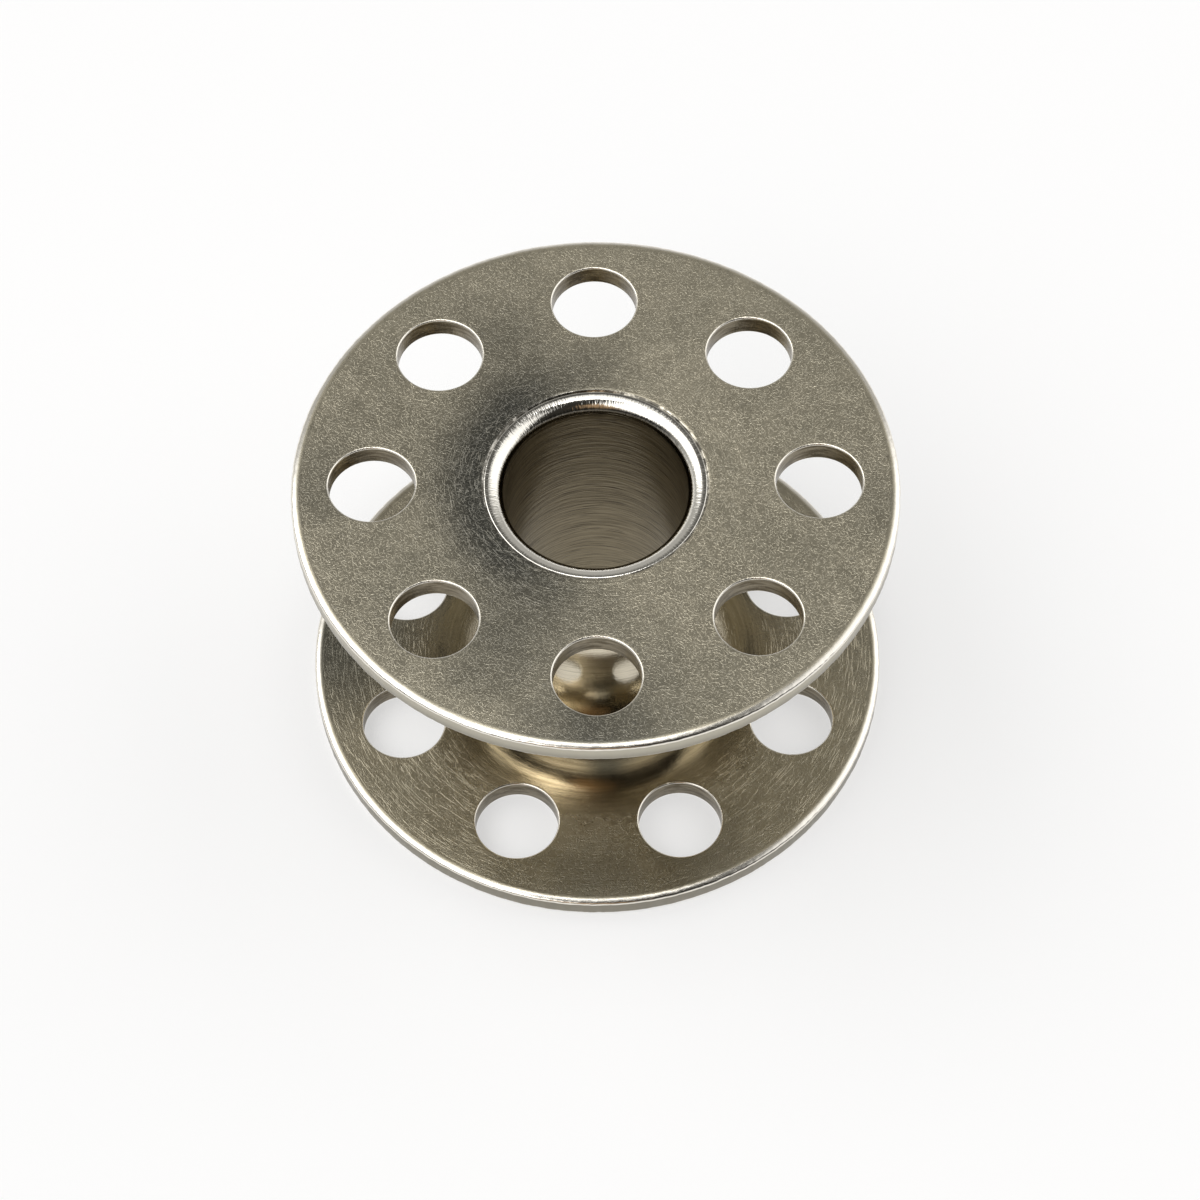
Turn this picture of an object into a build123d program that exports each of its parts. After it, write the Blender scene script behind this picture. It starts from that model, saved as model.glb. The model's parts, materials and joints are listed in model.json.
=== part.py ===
from build123d import *
import os

# Sewing machine bobbin: two stamped round flanges, held by the flared ends of a turned hub tube.
# The tube is thinner where it passes through each flange. That leaves a shoulder for the flange
# to sit on, and the thin end is rolled outwards into the flange's countersunk centre hole.
# All sizes are in millimetres. +Z is the axis, and the origin is the middle of the lower face.

# Overall sizes
bobbin_width = 11.7
flange_diameter = 20.3
flange_thickness = 0.8
rim_edge_break = 0.12

# Hub tube
bore_diameter = 6.15
hub_wall = 0.925
tube_end_wall = 0.38
flare_radius = 0.6
lip_edge_width = 0.05
lip_recess = 0.05

# Ring of holes in each flange
hole_count = 8
hole_diameter = 2.9
hole_circle_diameter = 14.9
hole_edge_break = 0.06

# Sizes that follow from the ones above
middle_z = bobbin_width / 2
bore_radius = bore_diameter / 2
hub_radius = bore_radius + hub_wall
flange_radius = flange_diameter / 2
tube_end_radius = bore_radius + tube_end_wall
lip_radius = bore_radius + flare_radius + lip_edge_width
flare_depth = lip_radius - tube_end_radius
hole_pitch_angle = 360 / hole_count

# Hub tube: the upper half of its wall, turned about the axis and mirrored at the middle
shoulder_z = bobbin_width - flange_thickness
lip_z = bobbin_width - lip_recess

with BuildPart() as hub_tube:
    with BuildSketch(Plane.XZ):
        with BuildLine():
            bore_wall = Line((bore_radius, middle_z), (bore_radius, lip_z - flare_radius))
            mouth = JernArc(bore_wall @ 1, bore_wall % 1, flare_radius, -90)
            Polyline(
                mouth @ 1,
                (lip_radius, lip_z),
                (tube_end_radius, lip_z - flare_depth),
                (tube_end_radius, shoulder_z),
                (hub_radius, shoulder_z),
                (hub_radius, middle_z),
                bore_wall @ 0,
            )
        make_face()
    revolve(axis=Axis.Z)
    mirror(about=Plane.XY.offset(middle_z))


def stamped_flange(outer_z, inward, first_hole_angle):
    """A round flange whose outer face is at outer_z, with inward as +1 or -1 along Z."""
    inner_z = outer_z + inward * flange_thickness
    countersink_foot_z = outer_z + inward * (lip_recess + flare_depth)
    with BuildPart() as flange:
        with BuildSketch(Plane.XZ) as section:
            with BuildLine():
                Polyline(
                    (tube_end_radius, inner_z),
                    (flange_radius, inner_z),
                    (flange_radius, outer_z),
                    (lip_radius + lip_recess, outer_z),
                    (tube_end_radius, countersink_foot_z),
                    close=True,
                )
            make_face()
            chamfer(section.vertices().group_by(Axis.X)[-1], rim_edge_break)
        revolve(axis=Axis.Z)
        with PolarLocations(hole_circle_diameter / 2, hole_count, start_angle=first_hole_angle):
            Hole(hole_diameter / 2)
        chamfer(flange.edges(Select.LAST).filter_by(GeomType.CIRCLE), hole_edge_break)
    return flange.part


# The lower flange is turned by half the spacing of the holes against the upper one
upper_flange = stamped_flange(bobbin_width, -1, first_hole_angle=0)
lower_flange = stamped_flange(0, 1, first_hole_angle=hole_pitch_angle / 2)

hub_tube.part.label = "hub_tube"
upper_flange.label = "upper_flange"
lower_flange.label = "lower_flange"

os.makedirs("parts", exist_ok=True)
export_step(hub_tube.part, "parts/hub_tube.step")
export_step(upper_flange, "parts/upper_flange.step")
export_step(lower_flange, "parts/lower_flange.step")
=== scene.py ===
import json
import math
import bpy
import bmesh
from mathutils import Matrix, Vector, noise
from mathutils.geometry import delaunay_2d_cdt


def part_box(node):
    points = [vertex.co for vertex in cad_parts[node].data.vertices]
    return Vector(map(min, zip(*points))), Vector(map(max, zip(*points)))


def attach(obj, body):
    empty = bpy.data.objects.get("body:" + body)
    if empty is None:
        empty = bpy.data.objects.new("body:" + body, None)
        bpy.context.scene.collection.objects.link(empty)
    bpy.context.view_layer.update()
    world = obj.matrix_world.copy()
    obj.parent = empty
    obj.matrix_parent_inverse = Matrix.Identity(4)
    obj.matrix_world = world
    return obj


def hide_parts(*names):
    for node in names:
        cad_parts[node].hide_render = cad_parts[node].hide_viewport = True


# The looks of a nickel-plated sewing machine bobbin: two stamped flanges on a swaged hub tube.
# Lengths are in millimetres until a mesh, a lamp or the camera is made, because Blender's are in metres.

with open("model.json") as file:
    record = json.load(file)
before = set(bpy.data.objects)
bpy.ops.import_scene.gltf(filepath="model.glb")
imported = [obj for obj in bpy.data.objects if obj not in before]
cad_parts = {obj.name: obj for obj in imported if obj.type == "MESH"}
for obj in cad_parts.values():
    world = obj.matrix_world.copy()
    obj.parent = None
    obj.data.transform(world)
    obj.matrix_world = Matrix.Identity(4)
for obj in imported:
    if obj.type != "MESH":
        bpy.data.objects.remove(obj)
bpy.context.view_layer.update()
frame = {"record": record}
MM = 0.001

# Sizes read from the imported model
record_mounts = {mount["name"]: mount for mount in frame["record"]["mounts"]}
flange_low, flange_high = [[value / MM for value in corner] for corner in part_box("upper_flange")]
hub_low, hub_high = [[value / MM for value in corner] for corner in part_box("hub_tube")]
bobbin_width = flange_high[2]
flange_thickness = flange_high[2] - flange_low[2]
flange_radius = (flange_high[0] - flange_low[0]) / 2
hub_radius = (hub_high[0] - hub_low[0]) / 2
bore_radius = record_mounts["spindle_bore"]["dims"]["r_mm"]
bore_length = record_mounts["spindle_bore"]["dims"]["length_mm"]
lip_recess = bobbin_width - hub_high[2]
flare_radius = (hub_high[2] - hub_low[2] - bore_length) / 2

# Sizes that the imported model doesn't state
tube_end_wall = 0.38
lip_edge_width = 0.05
lip_edge_break = 0.012
hole_count = 8
hole_diameter = 2.9
hole_circle_diameter = 14.9
hole_pitch_angle = 360 / hole_count
hole_edge_round = 0.06
small_edge_round = 0.03
tube_end_radius = bore_radius + tube_end_wall
lip_radius = bore_radius + flare_radius + lip_edge_width
flare_depth = lip_radius - tube_end_radius

# Edge of the rim: its slow slope as (inset, drop) points, the angle where the slope ends, and its round
rim_slope = [(0.30, 0), (0.25, 0.003), (0.20, 0.012), (0.15, 0.027), (0.10, 0.046)]
rim_slope_angle = 22
rim_round = 0.12
rim_wear_depth = 0.012
rim_wear_grain = 0.35

# Where the flat middle of a flange, which carries the holes, meets its turned inner and outer zones
flat_zone_inner_radius = 5.8
flat_zone_outer_radius = 9.3

# Narrow flat strips round a hole's edge and round the countersink, which keep the shading there even
hole_strip_width = 0.05
countersink_strip_width = 0.1

# Fineness of the meshes
RIM_SEGMENTS = 1440
HUB_SEGMENTS = 720
HOLE_SEGMENTS = 96
RIM_ROUND_STEPS = 7
HOLE_ROUND_STEPS = 4
FLARE_STEPS = 14

# Heights at which the patches below lie
upper_face_z = bobbin_width
upper_underside_z = bobbin_width - flange_thickness
lower_inner_z = flange_thickness

# Painted shade: dark patches where the faces lie in shade or show dark reflections: x, y, z, reach and
# strength
painted_shade_places = [
    (-2.8, -6.0, upper_face_z, 4.6, 0.62),
    (0.2, -5.4, upper_face_z, 2.6, 0.3),
    (-3.1, 5.6, upper_face_z, 3.6, 0.4),
    (-9.0, 0.2, upper_face_z, 3.6, 0.4),
    (0.6, -8.6, upper_face_z, 4.4, 0.5),
    (0.0, 4.8, upper_face_z, 2.4, 0.3),
    (-6.5, -4.5, upper_face_z, 13.0, 0.22),
    (4.0, -9.0, upper_face_z, 5.0, 0.15),
    (9.6, -0.5, upper_face_z, 2.6, 0.2),
    (-9.2, 0.4, lower_inner_z, 5.0, 0.65),
    (0.0, -9.4, lower_inner_z, 3.0, 0.25),
    (3.6, -8.4, lower_inner_z, 3.2, 0.25),
    (0.35, -4.7, lower_inner_z, 1.7, 0.95),
    (0.0, -9.6, upper_underside_z, 5.0, 0.85),
]

# Painted highlights next to the hub, in place of the lamps' reflections: x, y, z, reach and strength
painted_highlight_places = [
    (-1.6, -5.2, lower_inner_z, 1.9, 1.0),
    (1.55, -5.3, lower_inner_z, 1.2, 0.5),
]

# Radii between which a flange's finish, its painted shade and its painted highlights change
fan_shade_fade = (4.1, 6.4)
turning_line_fade = (4.2, 7.0)
polish_fade = (5.2, 7.5)
streak_fade = (5.5, 8.5)
rim_wall_start = (9.2, 9.7)
smooth_rim_start = (flange_radius - 0.4, flange_radius - 0.25)
seam_fade = (lip_radius + lip_recess, lip_radius + lip_recess + 0.05)
edge_shine_start = (lip_radius, lip_radius + 0.4)

# Radii between which the hub's finish and its painted shade change
bore_fade = (bore_radius + 0.01, bore_radius + 0.06)
rolled_start = (bore_radius + 0.02, bore_radius + 0.1)
rolled_end = (hub_radius - 0.2, hub_radius - 0.1)
mouth_shade_fade = (bore_radius + 0.16, bore_radius + 0.27)
mouth_shade_raggedness = 0.14

# Heights of the marks in the flanges' plating
curl_height = 0.0028
fine_curl_height = -0.003
scratch_height = -0.0015
arc_height = 0.005
flange_line_height = 0.012

# Heights of the marks in the hub's plating
bore_line_height = 0.02
outside_line_height = 0.0016
rolled_mark_height = 0.009
grain_height = 0.0015

# How strongly the marks, the painted shade and the painted glints colour the flanges
fan_shade_strength = 0.9
curl_glint_strength = 0.2
fine_curl_shade_strength = 0.34
arc_glint_strength = 0.2
inner_shade_tint_strength = 0.35
seam_shade_strength = 0.9

# Roughness of the surfaces, and how much of it polish takes away
face_roughness = (0.285, 0.32)
foot_polish = 0.16
edge_polish = 0.1
hub_outside_roughness = 0.10
bore_roughness = 0.34

# Colours of the flanges as linear red, green, blue and alpha, with the darker one of a pair first
face_colours = ((0.52, 0.474, 0.359, 1), (0.59, 0.535, 0.405, 1))
inner_streak_colours = ((0.36, 0.32, 0.235, 1), (0.50, 0.445, 0.335, 1))
# Painted highlight colours of the spots in front of the hub
painted_highlight_colours = ((0.60, 0.50, 0.34, 1), (0.98, 0.86, 0.64, 1))
# Painted shade: the dark tone of the hole walls; the streaks are the punch's
shaded_hole_wall_colours = ((0.115, 0.094, 0.06, 1), (0.25, 0.217, 0.157, 1))
# Painted shade: rim walls darker towards their foot, the lower rim's wall all dark
rim_wall_shade_colours = ((0.25, 0.23, 0.185, 1), (0.46, 0.43, 0.35, 1))
# Painted shade colour of the dark patches
painted_shade_colour = (0.12, 0.118, 0.10, 1)
# Painted shade colour of the dark fan left of the ring
fan_shade_colour = (0.075, 0.077, 0.070, 1)
# Painted glints on the curls and arcs, and painted shade in the finer curls
curl_glint_colour = (0.58, 0.56, 0.50, 1)
fine_curl_shade_colour = (0.16, 0.145, 0.11, 1)
arc_glint_colour = (0.72, 0.67, 0.56, 1)
# Painted shade: darker, warmer tint of the faces between the flanges
inner_shade_tint = (0.20, 0.17, 0.11, 1)
# Painted highlight colour of the rounded edges
edge_highlight_colour = (0.86, 0.82, 0.74, 1)
# Painted shade colour in the seam round the ring
seam_shade_colour = (0.05, 0.045, 0.035, 1)

# Colours of the hub
bore_colours = ((0.21, 0.175, 0.112, 1), (0.34, 0.287, 0.19, 1))
bore_streak_colour = (0.11, 0.088, 0.056, 1)
turned_colours = ((0.64, 0.575, 0.445, 1), (0.76, 0.695, 0.555, 1))
turned_streak_colour = (0.54, 0.48, 0.365, 1)
rolled_colour = (0.82, 0.79, 0.72, 1)
# Painted shade colour at the foot of the ring's mouth
mouth_shade_colour = (0.075, 0.062, 0.042, 1)

# Colours of the studio
floor_colour = (0.96, 0.96, 0.96, 1)
rear_colour = (0.455, 0.45, 0.437, 1)
high_rear_colour = (0.09, 0.088, 0.082, 1)
camera_side_colour = (0.03, 0.028, 0.024, 1)
warm_glow_colour = (0.44, 0.30, 0.18, 1)
ceiling_colour = (1.3, 1.3, 1.3, 1)
horizon_colour = (0.9, 0.9, 0.9, 1)


def arc_points(centre, radius, start_angle, end_angle, steps):
    """Points of an arc in the (radius, height) plane, with both ends, in degrees."""
    points = []
    for step in range(steps + 1):
        angle = math.radians(start_angle + (end_angle - start_angle) * step / steps)
        points.append((centre[0] + radius * math.cos(angle), centre[1] + radius * math.sin(angle)))
    return points


def ring(bm, radius, height, segments, centre=(0, 0)):
    """A circle of vertices about a vertical line through centre."""
    vertices = []
    for step in range(segments):
        angle = 2 * math.pi * step / segments
        x = centre[0] + radius * math.cos(angle)
        y = centre[1] + radius * math.sin(angle)
        vertices.append(bm.verts.new((x, y, height)))
    return vertices


def bridge(bm, rings):
    """Quads between each ring and the next."""
    for lower, upper in zip(rings, rings[1:]):
        for step in range(len(lower)):
            following = (step + 1) % len(lower)
            bm.faces.new((lower[step], lower[following], upper[following], upper[step]))


def lathe(bm, profile, segments):
    """Turns an open profile of (radius, height) points and returns its rings."""
    rings = [ring(bm, radius, height, segments) for radius, height in profile]
    bridge(bm, rings)
    return rings


def middle_of(points):
    """The mean of several points in the plane."""
    return sum(points, Vector((0, 0))) / len(points)


def fill_flat(bm, outer_ring, inner_rings):
    """Fills the flat region between an outer ring and the rings inside it."""
    just_inside_the_ring = 0.9999
    vertices = list(outer_ring)
    loops = [list(range(len(outer_ring)))]
    holes = []
    for inner in inner_rings:
        loops.append(list(range(len(vertices), len(vertices) + len(inner)))[::-1])
        vertices.extend(inner)
        centre = middle_of([vertex.co.xy for vertex in inner])
        holes.append((centre, (inner[0].co.xy - centre).length * just_inside_the_ring))
    coordinates = [vertex.co.xy for vertex in vertices]
    edges = [(loop[i - 1], loop[i]) for loop in loops for i in range(len(loop))]
    inside_the_loops = 1
    tolerance = 1e-6
    result = delaunay_2d_cdt(coordinates, edges, [], inside_the_loops, tolerance)
    points, _, faces, origins = result[:4]
    for face in faces:
        middle = middle_of([points[index] for index in face])
        if all((middle - centre).length > radius for centre, radius in holes):
            bm.faces.new([vertices[origins[index][0]] for index in face])


def rim_half_profile():
    """One edge of the rim, with the outer face at height 0: a slow slope, and then a small round."""
    slope = [(flange_radius - inset, -drop) for inset, drop in rim_slope]
    steepest = math.radians(rim_slope_angle)
    last_radius = flange_radius - rim_round * (1 - math.sin(steepest))
    last_height = slope[-1][1] - (last_radius - slope[-1][0]) * math.tan(steepest)
    centre = (flange_radius - rim_round, last_height - rim_round * math.cos(steepest))
    return slope + arc_points(centre, rim_round, 90 - rim_slope_angle, 0, RIM_ROUND_STEPS)


def rim_profile(bottom):
    """From the outer face, at height 0, over the rim to the inner face."""
    upper_half = rim_half_profile()
    lower_half = [(radius, bottom - height) for radius, height in upper_half[::-1]]
    return [(flat_zone_outer_radius, 0)] + upper_half + lower_half + [(flat_zone_outer_radius, bottom)]


def centre_hole_profile(bottom):
    """From the inner face up the centre hole's wall and countersink to the outer face, at height 0."""
    countersink_top = lip_radius + lip_recess
    countersink_foot = -(lip_recess + flare_depth)
    return [
        (flat_zone_inner_radius, bottom),
        (tube_end_radius + small_edge_round, bottom),
        (tube_end_radius, bottom + small_edge_round),
        (tube_end_radius, countersink_foot),
        (countersink_top - small_edge_round, -small_edge_round),
        (countersink_top - small_edge_round / 4, -small_edge_round * 0.35),
        (countersink_top + small_edge_round * 0.4, 0),
        (countersink_top + countersink_strip_width, 0),
        (flat_zone_inner_radius, 0),
    ]


def small_hole_profile(bottom):
    """Down a small hole's wall from the outer face, at height 0, with both edges rounded."""
    round_middle = hole_diameter / 2 + hole_edge_round
    upper_round = arc_points((round_middle, -hole_edge_round), hole_edge_round, 90, 180, HOLE_ROUND_STEPS)
    lower_centre = (round_middle, bottom + hole_edge_round)
    lower_round = arc_points(lower_centre, hole_edge_round, 180, 270, HOLE_ROUND_STEPS)
    strip_edge = round_middle + hole_strip_width
    return [(strip_edge, 0)] + upper_round + lower_round + [(strip_edge, bottom)]


def wear_rim(bm):
    """Uneven wear, from none where the rim's slope starts to the full depth at its edge."""
    fall_off = 0.7
    finer_each_time = 2.1
    octaves = 3
    slope_width = rim_slope[0][0]
    for vertex in bm.verts:
        radius = vertex.co.xy.length
        edge_share = min(max((radius - flange_radius + slope_width) / slope_width, 0), 1)
        if edge_share > 0:
            lumps = noise.fractal(vertex.co / rim_wear_grain, fall_off, finer_each_time, octaves)
            worn = rim_wear_depth * min(max(0.5 + lumps, 0.0), 1.0) * edge_share
            vertex.co.xy -= vertex.co.xy / radius * worn


def stamped_flange(name, outer_z, inward, first_hole_angle):
    """A flange with rounded edges, modelled with its outer face up and then put in place.

    Its outer face lies at outer_z, and inward is +1 or -1, the way along Z towards the thread.
    """
    bm = bmesh.new()
    bottom = -flange_thickness
    rim_rings = lathe(bm, rim_profile(bottom), RIM_SEGMENTS)
    centre_rings = lathe(bm, centre_hole_profile(bottom), HUB_SEGMENTS)
    upper_loops = [centre_rings[-1]]
    lower_loops = [centre_rings[0]]
    hole_profile = small_hole_profile(bottom)
    for hole in range(hole_count):
        angle = math.radians(first_hole_angle + hole_pitch_angle * hole)
        middle = Vector((math.cos(angle), math.sin(angle))) * hole_circle_diameter / 2
        hole_rings = [ring(bm, radius, height, HOLE_SEGMENTS, middle) for radius, height in hole_profile]
        bridge(bm, hole_rings)
        upper_loops.append(hole_rings[0])
        lower_loops.append(hole_rings[-1])
    fill_flat(bm, rim_rings[0], upper_loops)
    fill_flat(bm, rim_rings[-1], lower_loops)
    wear_rim(bm)
    for vertex in bm.verts:
        vertex.co.z = outer_z - inward * vertex.co.z
    return finish_mesh(bm, name)


def hub_profile():
    """The hub's closed outline: the bore, a flare and lip at each end, and the shouldered outside."""
    lip_z = bobbin_width - lip_recess
    shoulder_z = bobbin_width - flange_thickness
    middle_z = bobbin_width / 2
    flare_centre = (bore_radius + flare_radius, lip_z - flare_radius)
    upper_half = [
        (bore_radius, middle_z),
        *arc_points(flare_centre, flare_radius, 180, 90, FLARE_STEPS),
        (lip_radius - lip_edge_break, lip_z),
        (lip_radius, lip_z - lip_edge_break),
        (tube_end_radius, lip_z - flare_depth),
        (tube_end_radius, shoulder_z),
        (hub_radius - small_edge_round, shoulder_z),
        (hub_radius, shoulder_z - small_edge_round),
        (hub_radius, middle_z),
    ]
    lower_half = [(radius, bobbin_width - height) for radius, height in upper_half[::-1]]
    return upper_half[:-1] + lower_half[:-1]


def turned_hub(name):
    """The hub tube, turned from its outline."""
    bm = bmesh.new()
    rings = [ring(bm, radius, height, HUB_SEGMENTS) for radius, height in hub_profile()]
    bridge(bm, rings + rings[:1])
    return finish_mesh(bm, name)


def finish_mesh(bm, name):
    """Turns a closed mesh in millimetres into a smooth-shaded object in metres."""
    bmesh.ops.recalc_face_normals(bm, faces=bm.faces)
    bmesh.ops.scale(bm, vec=(MM, MM, MM), verts=bm.verts)
    mesh = bpy.data.meshes.new(name)
    bm.to_mesh(mesh)
    bm.free()
    mesh.polygons.foreach_set("use_smooth", [True] * len(mesh.polygons))
    piece = bpy.data.objects.new(name, mesh)
    bpy.context.scene.collection.objects.link(piece)
    return piece


class Nodes:
    """Short calls that add nodes to the tree of a material, a lamp or the world."""

    def __init__(self, tree):
        self.tree = tree
        tree.nodes.clear()

    def add(self, kind, settings=None, inputs=None):
        node = self.tree.nodes.new(kind)
        for key, value in (settings or {}).items():
            setattr(node, key, value)
        for key, value in (inputs or {}).items():
            self.put(node.inputs[key], value)
        return node

    def put(self, socket, value):
        if isinstance(value, bpy.types.NodeSocket):
            self.tree.links.new(value, socket)
        else:
            socket.default_value = value

    def math(self, operation, first, second=0.0):
        return self.add("ShaderNodeMath", {"operation": operation}, {0: first, 1: second}).outputs[0]

    def total(self, *values):
        result = values[0]
        for value in values[1:]:
            result = self.math("ADD", result, value)
        return result

    def product(self, *values):
        result = values[0]
        for value in values[1:]:
            result = self.math("MULTIPLY", result, value)
        return result

    def distance_from(self, value, level):
        return self.math("ABSOLUTE", self.math("SUBTRACT", value, level))

    def vector(self, operation, first, second=(0, 0, 0), scale=1.0):
        node = self.add("ShaderNodeVectorMath", {"operation": operation}, {0: first, 1: second, 3: scale})
        return node.outputs["Value"] if operation in ("LENGTH", "DOT_PRODUCT") else node.outputs["Vector"]

    def split(self, vector):
        return self.add("ShaderNodeSeparateXYZ", None, {0: vector}).outputs

    def join(self, x, y, z):
        return self.add("ShaderNodeCombineXYZ", None, {0: x, 1: y, 2: z}).outputs[0]

    def noise(self, vector, scale=1.0, detail=2.0, roughness=0.5):
        inputs = {"Vector": vector, "Scale": scale, "Detail": detail, "Roughness": roughness}
        return self.add("ShaderNodeTexNoise", {"noise_dimensions": "3D"}, inputs).outputs[0]

    def rise(self, value, low, high, bottom=0.0, top=1.0):
        """A smooth step from bottom to top, as the value goes from low to high."""
        inputs = {0: value, 1: low, 2: high, 3: bottom, 4: top}
        return self.add("ShaderNodeMapRange", {"interpolation_type": "SMOOTHSTEP"}, inputs).outputs[0]

    def fall(self, value, low, high, top=1.0, bottom=0.0):
        """A smooth step from top down to bottom, as the value goes from low to high."""
        return self.rise(value, low, high, top, bottom)

    def soften(self, share, least):
        """A factor of 1 where the share is 0, which falls to the least one where the share is 1."""
        return self.fall(share, 0.0, 1.0, 1.0, least)

    def blend(self, factor, first, second):
        inputs = {0: factor, 6: first, 7: second}
        return self.add("ShaderNodeMix", {"data_type": "RGBA"}, inputs).outputs[2]


class MetalNodes(Nodes):
    """The tree of a metal, with the place in millimetres, its radius and its direction from the axis."""

    def __init__(self, tree):
        super().__init__(tree)
        coordinates = self.add("ShaderNodeTexCoord").outputs["Object"]
        self.place = self.vector("SCALE", coordinates, scale=1 / MM)
        x, y, self.height = self.split(self.place)
        flat_place = self.join(x, y, 0.0)
        self.radius = self.vector("LENGTH", flat_place)
        self.direction = self.vector("NORMALIZE", flat_place)
        self.normal = self.add("ShaderNodeNewGeometry").outputs["Normal"]

    def moved_place(self, x, y, z):
        """The place with a shift, which keeps two patterns of one kind apart."""
        return self.vector("ADD", self.place, (x, y, z))


def new_metal(name):
    """A new material and its tree."""
    material = bpy.data.materials.new(name)
    material.use_nodes = True
    return material, MetalNodes(material.node_tree)


def level_lines(nodes, field, width):
    """Thin lines where a noise has its middle value."""
    return nodes.fall(nodes.distance_from(field, 0.5), 0.0, width)


def curled_marks(nodes, place, scale, width):
    """Short curly lines, as tumbling leaves them: the level lines of a noise, broken up by another."""
    lines = level_lines(nodes, nodes.noise(place, scale, detail=0.0), width)
    other_place = nodes.vector("ADD", place, (4.7, 1.3, 8.8))
    present = nodes.rise(nodes.noise(other_place, scale * 1.3, detail=0.0), 0.36, 0.56)
    return nodes.product(lines, present)


def straight_scratches(nodes, angle):
    """Fine scratches, all in about one direction."""
    settings = {"rotation_type": "Z_AXIS"}
    rotate = nodes.add("ShaderNodeVectorRotate", settings, {"Vector": nodes.place, "Angle": angle})
    stretched = nodes.vector("MULTIPLY", rotate.outputs[0], (0.7, 16.0, 1.0))
    return nodes.rise(nodes.noise(stretched, detail=1.0), 0.68, 0.76)


def turning_lines(nodes, lines_per_mm, spread):
    """Fine lines round the axis, as a lathe tool or a spinning cloth leaves them."""
    across = nodes.product(nodes.radius, lines_per_mm)
    level = nodes.product(nodes.height, lines_per_mm)
    x, y, _ = nodes.split(nodes.vector("SCALE", nodes.direction, scale=spread))
    return nodes.noise(nodes.join(x, y, nodes.total(across, level)), roughness=0.6)


def broken_arcs(nodes, direction, lines_per_mm, spread, width):
    """Short scratches round the axis: the level lines of a noise that is stretched that way."""
    x, y, _ = nodes.split(nodes.vector("SCALE", direction, scale=spread))
    stretched = nodes.join(x, y, nodes.product(nodes.radius, lines_per_mm))
    lines = level_lines(nodes, nodes.noise(stretched, detail=0.0), width)
    other_place = nodes.vector("ADD", stretched, (5.3, 2.1, 9.4))
    present = nodes.rise(nodes.noise(other_place, 1.6, detail=0.0), 0.48, 0.62)
    return nodes.product(lines, present)


def soft_patches(nodes, patches, waviness):
    """Soft patches with wavy borders, each given by its place, reach and strength."""
    waver = nodes.product(nodes.noise(nodes.place, 0.9), waviness)
    usual_waver = waviness * 0.5
    result = 0.0
    for x, y, z, reach, strength in patches:
        distance = nodes.vector("LENGTH", nodes.vector("SUBTRACT", nodes.place, (x, y, z)))
        waved = nodes.total(distance, waver)
        patch = nodes.fall(waved, usual_waver + 0.1, reach + usual_waver, strength, 0.0)
        result = nodes.math("MAXIMUM", result, patch)
    return result


def profile_tangent(nodes):
    """The direction across the turning lines, along the surface."""
    around = nodes.vector("CROSS_PRODUCT", (0, 0, 1), nodes.direction)
    return nodes.vector("NORMALIZE", nodes.vector("CROSS_PRODUCT", nodes.normal, around))


def metal_output(nodes, colour, roughness, relief, anisotropy):
    """The plated surface itself. The relief is a height in millimetres."""
    bump = nodes.add("ShaderNodeBump", None, {"Strength": 1.0, "Distance": MM, "Height": relief})
    inputs = {
        "Base Color": colour,
        "Metallic": 1.0,
        "Roughness": roughness,
        "Anisotropic": anisotropy,
        "Tangent": profile_tangent(nodes),
        "Normal": bump.outputs[0],
    }
    shader = nodes.add("ShaderNodeBsdfPrincipled", None, inputs)
    nodes.add("ShaderNodeOutputMaterial", None, {"Surface": shader.outputs[0]})


def flange_zones(nodes):
    """Shares from 0 to 1 that tell a flange's walls, its rounded edges and its inner faces."""
    flatness = nodes.math("ABSOLUTE", nodes.split(nodes.normal)[2])
    on_wall = nodes.fall(flatness, 0.35, 0.75)
    on_edge = nodes.product(nodes.fall(flatness, 0.93, 0.99), nodes.rise(flatness, 0.08, 0.3))
    from_middle = nodes.distance_from(nodes.height, bobbin_width / 2)
    inner_face = bobbin_width / 2 - flange_thickness
    on_inner_face = nodes.fall(from_middle, inner_face + 0.01, inner_face + 0.06)
    return on_wall, on_edge, on_inner_face


def painted_shade_fan(nodes, on_inner_face):
    """Painted shade: the dark fan on the outer faces, to the left of the ring."""
    middle_of_the_fan = (-0.998, 0.05, 0.0)
    towards_middle = nodes.vector("DOT_PRODUCT", nodes.direction, middle_of_the_fan)
    fan = nodes.rise(towards_middle, -0.35, 0.75)
    near_ring = nodes.fall(nodes.radius, *fan_shade_fade)
    on_outer_face = nodes.math("SUBTRACT", 1.0, on_inner_face)
    return nodes.product(fan, near_ring, on_outer_face)


def flange_arcs(nodes, on_inner_face, fan_shade):
    """Short scratches round the axis, at the sides of the inner faces and in the painted shade fan."""
    moved_direction = nodes.vector("ADD", nodes.direction, (3.0, 1.0, 0.0))
    coarse = broken_arcs(nodes, nodes.direction, lines_per_mm=6.0, spread=8.0, width=0.04)
    fine = broken_arcs(nodes, moved_direction, lines_per_mm=9.0, spread=5.5, width=0.055)
    arcs = nodes.math("MAXIMUM", coarse, fine)
    sideways = nodes.rise(nodes.math("ABSOLUTE", nodes.split(nodes.direction)[0]), 0.2, 0.6, 0.3, 1.0)
    return nodes.product(arcs, nodes.math("MAXIMUM", nodes.product(on_inner_face, sideways), fan_shade))


def flange_marks(nodes, on_inner_face, fan_shade):
    """The curls, the finer curls and the arcs in the plating."""
    curls = curled_marks(nodes, nodes.place, scale=7.0, width=0.07)
    curls = nodes.product(curls, nodes.soften(on_inner_face, 0.8))
    fine_curls = curled_marks(nodes, nodes.moved_place(7.3, 2.9, 5.1), scale=9.5, width=0.09)
    return curls, fine_curls, flange_arcs(nodes, on_inner_face, fan_shade)


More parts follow.
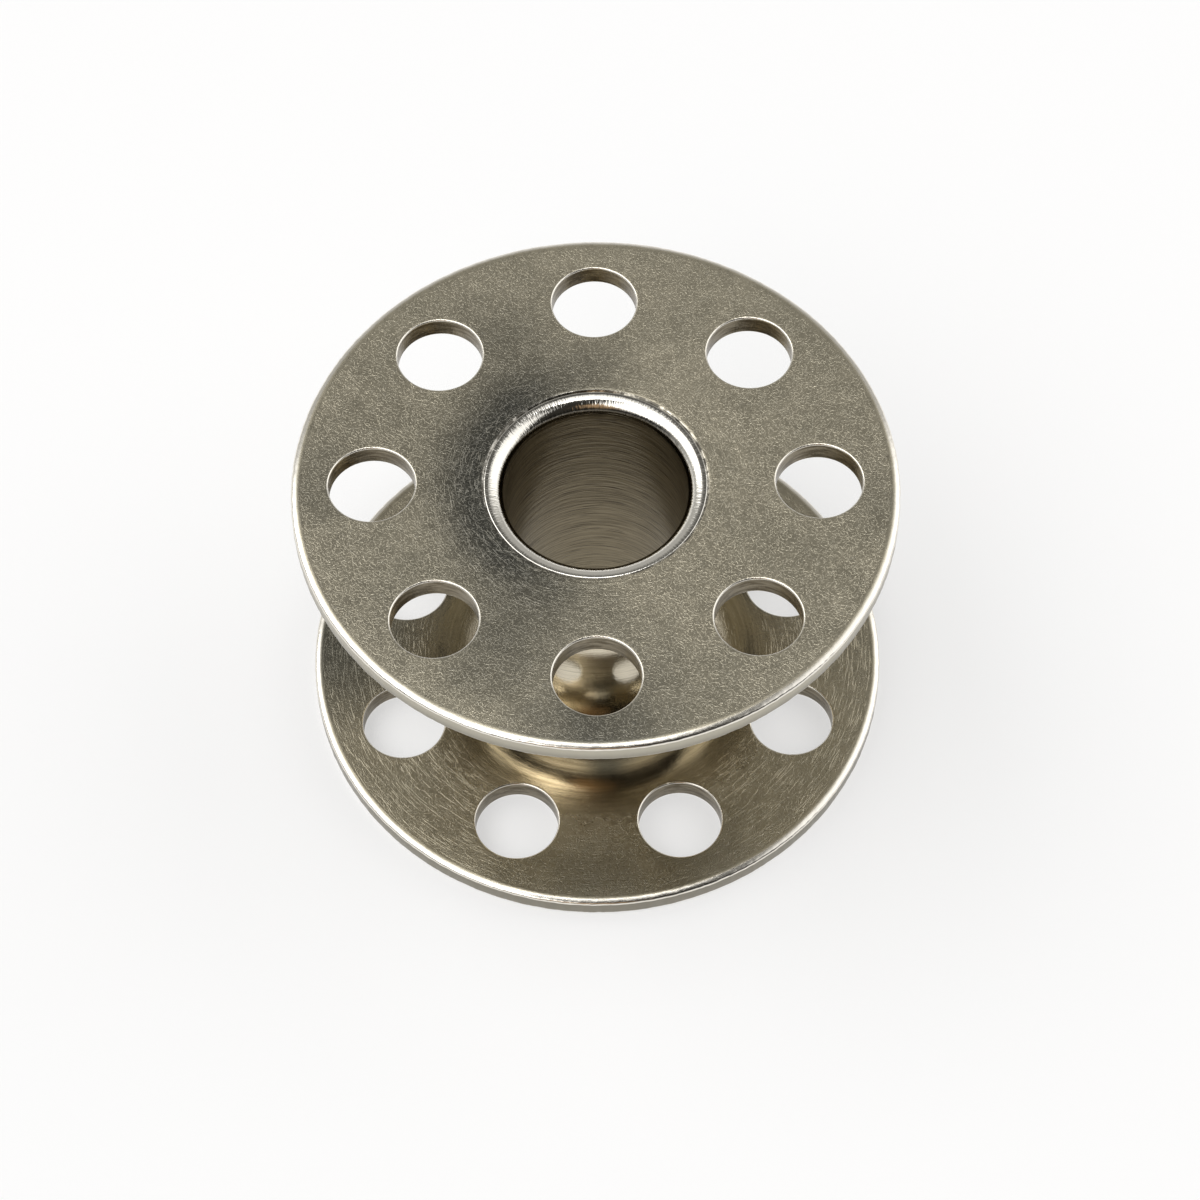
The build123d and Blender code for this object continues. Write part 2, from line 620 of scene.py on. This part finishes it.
def flange_relief(nodes, curls, fine_curls, arcs, on_edge, polished_foot):
    """The height of the marks and of the turning lines, less where the plate is polished or worn."""
    scratch_angles = (0.3, 1.4, 2.5)
    scratches = nodes.total(*[straight_scratches(nodes, angle) for angle in scratch_angles])
    marks = nodes.total(
        nodes.product(curls, curl_height),
        nodes.product(fine_curls, fine_curl_height),
        nodes.product(scratches, scratch_height),
        nodes.product(arcs, arc_height),
    )
    smooth_rim = nodes.fall(nodes.radius, *smooth_rim_start, 1.0, 0.25)
    smooth_rim = nodes.product(smooth_rim, nodes.soften(on_edge, 0.2))
    marks = nodes.product(marks, nodes.soften(polished_foot, 0.15), smooth_rim)
    near_hub = nodes.fall(nodes.radius, *turning_line_fade, 1.0, 0.2)
    lines = turning_lines(nodes, lines_per_mm=11.0, spread=5.0)
    lines = nodes.product(lines, near_hub, flange_line_height, nodes.soften(polished_foot, 0.12))
    return nodes.total(marks, lines)


def marked_face_colour(nodes, painted_shade_share, fan_shade, curls, fine_curls, arcs):
    """A flange's face with its painted shade patches, its painted shade fan and its marks, whose colour
    adds painted glints on the curls and arcs and painted shade in the finer curls.
    """
    cloud = nodes.noise(nodes.place, 0.55, detail=3.0, roughness=0.55)
    colour = nodes.blend(nodes.rise(cloud, 0.35, 0.65), *face_colours)
    # Painted shade: the dark patches
    colour = nodes.blend(painted_shade_share, colour, painted_shade_colour)
    # Painted shade: the dark fan left of the ring
    colour = nodes.blend(nodes.product(fan_shade, fan_shade_strength), colour, fan_shade_colour)
    # Painted glints on the curls
    colour = nodes.blend(nodes.product(curls, curl_glint_strength), colour, curl_glint_colour)
    # Painted shade in the finer curls
    colour = nodes.blend(nodes.product(fine_curls, fine_curl_shade_strength), colour, fine_curl_shade_colour)
    # Painted glints on the arcs
    return nodes.blend(nodes.product(arcs, arc_glint_strength), colour, arc_glint_colour)


def inner_face_colour(nodes, face_colour, painted_shade_share):
    """The faces towards the thread: warmer and darker, as painted shade between the flanges, streaked
    round the hub, and with painted highlights in front of it.
    """
    streaks = nodes.rise(turning_lines(nodes, lines_per_mm=9.0, spread=2.0), 0.3, 0.7)
    streak_colour = nodes.blend(streaks, *inner_streak_colours)
    colour = nodes.blend(nodes.rise(nodes.radius, *streak_fade), streak_colour, face_colour)
    # Painted shade between the flanges
    colour = nodes.blend(inner_shade_tint_strength, colour, inner_shade_tint)
    # Painted shade: the dark patches on the inner faces and the underside
    colour = nodes.blend(painted_shade_share, colour, painted_shade_colour)
    # Painted highlights: bright spots in front of the hub
    painted_highlight_share = soft_patches(nodes, painted_highlight_places, waviness=0.3)
    return nodes.blend(painted_highlight_share, colour, nodes.blend(streaks, *painted_highlight_colours))


def flange_wall_colour(nodes):
    """The walls of the holes, streaked by the punch and dark as painted shade, and of the rims, of which
    the upper one is paler towards its top and the lower one is dark, as painted shade.
    """
    stretched = nodes.vector("MULTIPLY", nodes.place, (1.3, 1.3, 9.0))
    streaks = nodes.rise(nodes.noise(stretched, roughness=0.6), 0.35, 0.65)
    towards_top = nodes.rise(nodes.height, bobbin_width - flange_thickness, bobbin_width - 0.2)
    on_rim = nodes.rise(nodes.radius, *rim_wall_start)
    # Painted shade: dark hole walls
    shaded_hole_wall_colour = nodes.blend(streaks, *shaded_hole_wall_colours)
    # Painted shade: rim walls darker towards their foot
    rim_wall_shade_colour = nodes.blend(towards_top, *rim_wall_shade_colours)
    return nodes.blend(on_rim, shaded_hole_wall_colour, rim_wall_shade_colour)


def shiny_edges(nodes, colour, on_edge):
    """Edges coloured bright as a painted highlight, less so where the countersink meets the ring."""
    shine = nodes.product(on_edge, nodes.rise(nodes.radius, *edge_shine_start, 0.45, 1.0))
    return nodes.blend(shine, colour, edge_highlight_colour)


def seam_shade(nodes, colour):
    """Broken painted shade in the seam between the ring and the flange."""
    seam = nodes.fall(nodes.radius, *seam_fade)
    lumps = nodes.noise(nodes.moved_place(1.0, 6.0, 2.0), 2.2, detail=3.0, roughness=0.7)
    # Painted shade in the seam round the ring
    shade_in_seam = nodes.product(seam, nodes.rise(lumps, 0.38, 0.58), seam_shade_strength)
    return nodes.blend(shade_in_seam, colour, seam_shade_colour)


def flange_roughness(nodes, on_edge, polished_foot):
    """Patchy, and smoother at the edges and round the hub."""
    patch = nodes.noise(nodes.moved_place(3.1, 8.2, 0.0), 1.6, detail=3.0, roughness=0.6)
    roughness = nodes.rise(patch, 0.3, 0.7, *face_roughness)
    roughness = nodes.math("SUBTRACT", roughness, nodes.product(polished_foot, foot_polish))
    return nodes.math("SUBTRACT", roughness, nodes.product(on_edge, edge_polish))


def flange_material():
    """Stamped, tumbled and plated steel: curly marks all over, turning lines near the hub."""
    material, nodes = new_metal("flange_nickel")
    on_wall, on_edge, on_inner_face = flange_zones(nodes)
    polished_foot = nodes.product(on_inner_face, nodes.fall(nodes.radius, *polish_fade))
    # Painted shade: the dark fan left of the ring
    fan_shade = painted_shade_fan(nodes, on_inner_face)
    # Painted shade: dark patches where the faces lie in shade or show dark reflections
    painted_shade_share = soft_patches(nodes, painted_shade_places, waviness=1.6)
    marks = flange_marks(nodes, on_inner_face, fan_shade)
    face_colour = marked_face_colour(nodes, painted_shade_share, fan_shade, *marks)
    colour = nodes.blend(on_inner_face, face_colour, inner_face_colour(nodes, face_colour, painted_shade_share))
    colour = nodes.blend(on_wall, colour, flange_wall_colour(nodes))
    colour = shiny_edges(nodes, colour, on_edge)
    colour = seam_shade(nodes, colour)
    relief = flange_relief(nodes, *marks, on_edge, polished_foot)
    roughness = flange_roughness(nodes, on_edge, polished_foot)
    metal_output(nodes, colour, roughness, relief, anisotropy=0.3)
    return material


def rolled_marks(nodes):
    """Marks of the rolling tool: short lines across the lip, close together around it."""
    x, y, _ = nodes.split(nodes.direction)
    fine_around = 55.0
    coarse_down = 5.0
    place = nodes.join(
        nodes.product(x, fine_around),
        nodes.product(y, fine_around),
        nodes.product(nodes.height, coarse_down),
    )
    return nodes.noise(place, roughness=0.6)


def hub_relief(nodes, in_bore, rolled, rolling):
    """The height of the lathe's lines, of the rolling marks on the lips and of a fine grain."""
    bore_lines = turning_lines(nodes, lines_per_mm=10.0, spread=2.2)
    bore_lines = nodes.product(bore_lines, bore_line_height)
    outside_lines = turning_lines(nodes, lines_per_mm=20.0, spread=0.9)
    outside_lines = nodes.product(outside_lines, outside_line_height)
    lines = nodes.add("ShaderNodeMix", None, {0: in_bore, 2: outside_lines, 3: bore_lines}).outputs[0]
    lip_marks = nodes.product(rolling, rolled, rolled_mark_height)
    grain = nodes.product(nodes.noise(nodes.place, 14.0), grain_height)
    return nodes.total(lines, lip_marks, grain)


def hub_colour(nodes, in_bore, rolled, rolling):
    """A brown bore, a paler outside and bright lips, with a ragged dark line of painted shade at the foot
    of the mouth.
    """
    streaks = nodes.rise(turning_lines(nodes, lines_per_mm=16.0, spread=1.6), 0.3, 0.7)
    dark_streaks = nodes.rise(turning_lines(nodes, lines_per_mm=20.0, spread=2.4), 0.54, 0.68)
    bore_colour = nodes.blend(dark_streaks, nodes.blend(streaks, *bore_colours), bore_streak_colour)
    turned_colour = nodes.blend(dark_streaks, nodes.blend(streaks, *turned_colours), turned_streak_colour)
    outside_colour = nodes.blend(rolled, turned_colour, rolled_colour)
    ragged_radius = nodes.total(nodes.radius, nodes.product(rolling, mouth_shade_raggedness))
    # Painted shade: ragged dark line at the foot of the mouth
    mouth_shade = nodes.fall(ragged_radius, *mouth_shade_fade, 0.92, 0.0)
    outside_colour = nodes.blend(mouth_shade, outside_colour, mouth_shade_colour)
    return nodes.blend(in_bore, outside_colour, bore_colour)


def hub_material():
    """Turned steel, plated: fine lines round the bore, burnished at the rolled ends."""
    material, nodes = new_metal("hub_nickel")
    in_bore = nodes.fall(nodes.radius, *bore_fade)
    beyond_bore = nodes.rise(nodes.radius, *rolled_start)
    rolled = nodes.product(beyond_bore, nodes.fall(nodes.radius, *rolled_end))
    rolling = rolled_marks(nodes)
    colour = hub_colour(nodes, in_bore, rolled, rolling)
    relief = hub_relief(nodes, in_bore, rolled, rolling)
    roughness = nodes.rise(in_bore, 0.0, 1.0, hub_outside_roughness, bore_roughness)
    metal_output(nodes, colour, roughness, relief, anisotropy=0.4)
    return material


def floor_material():
    """White that takes shadows, and has a share of light of its own where it is seen."""
    own_light_share = 0.54
    material = bpy.data.materials.new("floor_white")
    material.use_nodes = True
    nodes = Nodes(material.node_tree)
    shaded = nodes.add("ShaderNodeBsdfDiffuse", None, {"Color": floor_colour})
    white = nodes.add("ShaderNodeEmission", None, {"Strength": 1.0})
    rays = nodes.add("ShaderNodeLightPath").outputs
    seen = nodes.math("MAXIMUM", rays["Is Camera Ray"], rays["Is Glossy Ray"])
    seen = nodes.math("MAXIMUM", seen, rays["Is Transmission Ray"])
    share = nodes.product(seen, own_light_share)
    mix = nodes.add("ShaderNodeMixShader", None, {0: share, 1: shaded.outputs[0], 2: white.outputs[0]})
    nodes.add("ShaderNodeOutputMaterial", None, {"Surface": mix.outputs[0]})
    return material


def build_floor():
    """A plain pale floor that reaches four metres each way, just under the bobbin."""
    reach = 4.0
    drop = 0.002 * MM
    mesh = bpy.data.meshes.new("floor")
    corners = [(-reach, -reach, 0), (reach, -reach, 0), (reach, reach, 0), (-reach, reach, 0)]
    mesh.from_pydata(corners, [], [(0, 1, 2, 3)])
    mesh.materials.append(floor_material())
    floor = bpy.data.objects.new("floor", mesh)
    floor.location.z = -drop
    bpy.context.scene.collection.objects.link(floor)


def soft_edged_glow(data):
    """Lets a lamp's light fade out towards its edges."""
    fade_width = 0.16
    data.use_nodes = True
    nodes = Nodes(data.node_tree)
    across, along, _ = nodes.split(nodes.add("ShaderNodeNewGeometry").outputs["Parametric"])
    glow = 1.0
    for share in (across, along):
        from_edge = nodes.math("SUBTRACT", 0.5, nodes.distance_from(share, 0.5))
        glow = nodes.product(nodes.rise(from_edge, 0.0, fade_width), glow)
    emission = nodes.add("ShaderNodeEmission", None, {"Strength": glow})
    nodes.add("ShaderNodeOutputLight", None, {"Surface": emission.outputs[0]})


def softbox(name, azimuth, elevation, width, height, radiance):
    """A soft lamp, given by its direction and its width and height in degrees, seen from the bobbin."""
    distance = 5.0
    data = bpy.data.lights.new(name, "AREA")
    data.shape = "RECTANGLE"
    data.size = 2 * distance * math.tan(math.radians(width / 2))
    data.size_y = 2 * distance * math.tan(math.radians(height / 2))
    data.energy = radiance * math.pi * data.size * data.size_y
    soft_edged_glow(data)
    lamp = bpy.data.objects.new(name, data)
    azimuth = math.radians(azimuth)
    elevation = math.radians(elevation)
    level = math.cos(elevation)
    towards = Vector((math.cos(azimuth) * level, math.sin(azimuth) * level, math.sin(elevation)))
    lamp.location = towards * distance
    lamp.rotation_euler = towards.to_track_quat("Z", "Y").to_euler()
    lamp.visible_camera = False
    bpy.context.scene.collection.objects.link(lamp)


def build_world():
    """A studio: a pale horizon, a grey rear, a bright ceiling, a dark camera side and a warm glow."""
    glow_direction = (-0.08, -0.82, 0.57)
    glow_edge = (0.955, 0.985)
    ceiling_direction = (0.0, 0.12, 0.993)
    ceiling_edge = (0.955, 0.988)
    horizon_fade = (0.1, 0.26)
    world = bpy.data.worlds.new("studio")
    world.use_nodes = True
    bpy.context.scene.world = world
    nodes = Nodes(world.node_tree)
    direction = nodes.add("ShaderNodeTexCoord").outputs["Generated"]
    _, y, z = nodes.split(direction)
    low = nodes.fall(z, 0.60, 0.86)
    rear = nodes.rise(y, -0.45, 0.25)
    level = nodes.blend(rear, camera_side_colour, nodes.blend(low, high_rear_colour, rear_colour))
    towards_glow = nodes.vector("DOT_PRODUCT", direction, glow_direction)
    level = nodes.blend(nodes.rise(towards_glow, *glow_edge), level, warm_glow_colour)
    towards_ceiling = nodes.vector("DOT_PRODUCT", direction, ceiling_direction)
    level = nodes.blend(nodes.rise(towards_ceiling, *ceiling_edge), level, ceiling_colour)
    level = nodes.blend(nodes.fall(z, *horizon_fade), level, horizon_colour)
    background = nodes.add("ShaderNodeBackground", None, {"Color": level, "Strength": 1.0})
    nodes.add("ShaderNodeOutputWorld", None, {"Surface": background.outputs[0]})


def build_camera():
    """The camera, as it was fitted to the outlines of the flanges and holes in the photo."""
    focal_length_px = 3443.08
    image_size_px = 1200
    distance = 124.454
    elevation = math.radians(58.293)
    roll = math.radians(-0.471)
    shift_right = 0.0979
    shift_up = 2.2414
    forward = Vector((0, math.cos(elevation), -math.sin(elevation)))
    level_right = Vector((1, 0, 0))
    level_up = Vector((0, math.sin(elevation), math.cos(elevation)))
    right = math.cos(roll) * level_right + math.sin(roll) * level_up
    up = -math.sin(roll) * level_right + math.cos(roll) * level_up
    position = right * shift_right + up * shift_up - forward * distance
    turned = Matrix((right, up, -forward)).transposed().to_4x4()
    data = bpy.data.cameras.new("camera")
    data.sensor_width = 36
    data.lens = focal_length_px / image_size_px * data.sensor_width
    data.clip_start = 0.01
    data.clip_end = 50
    camera = bpy.data.objects.new("camera", data)
    camera.matrix_world = Matrix.Translation(position * MM) @ turned
    bpy.context.scene.collection.objects.link(camera)
    bpy.context.scene.camera = camera


build_camera()
build_floor()
build_world()
softbox("softbox_left", azimuth=190, elevation=54, width=92, height=48, radiance=2.1)
softbox("softbox_right", azimuth=14, elevation=38, width=66, height=62, radiance=1.12)
softbox("softbox_above", azimuth=-90, elevation=87, width=26, height=14, radiance=4.6)

flange_nickel = flange_material()
hub_nickel = hub_material()

# The lower flange is turned by half the spacing of the holes
upper = stamped_flange("upper_flange_plate", outer_z=bobbin_width, inward=-1, first_hole_angle=0)
lower = stamped_flange("lower_flange_plate", outer_z=0, inward=1, first_hole_angle=hole_pitch_angle / 2)
hub = turned_hub("hub_tube_swaged")
for piece, node, slot, material in (
    (upper, "upper_flange", "flange_nickel", flange_nickel),
    (lower, "lower_flange", "flange_nickel", flange_nickel),
    (hub, "hub_tube", "hub_nickel", hub_nickel),
):
    piece.data.materials.append(material)
    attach(piece, "root")
    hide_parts(node)

bpy.context.scene.view_settings.view_transform = "Standard"
